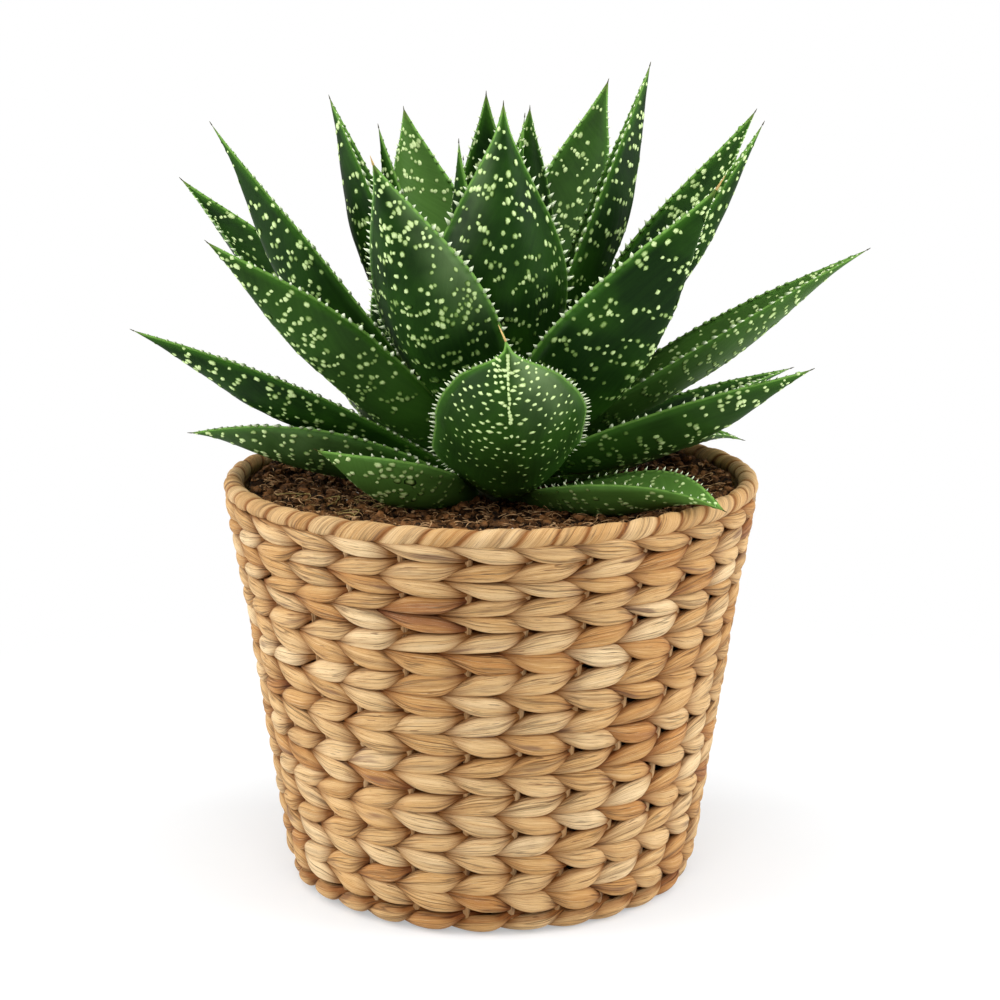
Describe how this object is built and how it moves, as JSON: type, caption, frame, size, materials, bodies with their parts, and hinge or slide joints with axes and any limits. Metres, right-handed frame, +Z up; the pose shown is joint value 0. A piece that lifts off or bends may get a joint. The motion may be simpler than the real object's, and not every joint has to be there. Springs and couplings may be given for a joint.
{
  "type": "potted succulent",
  "caption": "Gasteria rosette of thick, spotted, toothed pointed leaves in soil, in a round tapered woven basket planter with a rope rim.",
  "frame": {"origin": "centre of the basket's flat underside, on the surface it stands on", "axes": "+Z up, -Y towards the front, where the short keeled front leaf leans over the rim, +X to the right seen from the front"},
  "size_m": [0.221, 0.1677, 0.2484],
  "materials": {
    "weave": "dried plant fibre, matt, woven",
    "rim_rope": "dried plant fibre, matt, twisted rope",
    "liner": "thin dark film, satin",
    "soil": "moist coir potting soil, rough and crumbly",
    "stem": "fleshy plant stem, satin",
    "leaf": "smooth fleshy leaf skin, semi-gloss, with raised pale spots"
  },
  "bodies": {
    "root": {"basket_wall": "weave", "basket_base": "weave", "basket_rim_rope": "rim_rope", "liner": "liner", "soil": "soil", "stem": "stem", "leaf_front": "leaf", "leaf_front_left_low": "leaf", "leaf_front_right_low": "leaf", "leaf_left_low": "leaf", "leaf_left_long": "leaf", "leaf_left_broad": "leaf", "leaf_left_behind": "leaf", "leaf_left_tall": "leaf", "leaf_left_steep": "leaf", "leaf_front_left": "leaf", "leaf_centre_front": "leaf", "leaf_centre_right": "leaf", "leaf_centre_right_young": "leaf", "leaf_centre_back": "leaf", "leaf_centre_left_young": "leaf", "leaf_centre_bud": "leaf", "leaf_back_left": "leaf", "leaf_left_narrow": "leaf", "leaf_front_right": "leaf", "leaf_right_steep": "leaf", "leaf_right_behind": "leaf", "leaf_right_tall": "leaf", "leaf_back_right": "leaf", "leaf_right_long": "leaf", "leaf_right_low": "leaf", "leaf_right_low_behind": "leaf", "leaf_right_lowest": "leaf", "leaf_back_low": "leaf", "leaf_back_low_left": "leaf", "leaf_back_mid_right": "leaf", "leaf_back_mid_left": "leaf", "leaf_back_mid": "leaf"}
  },
  "joints": []
}
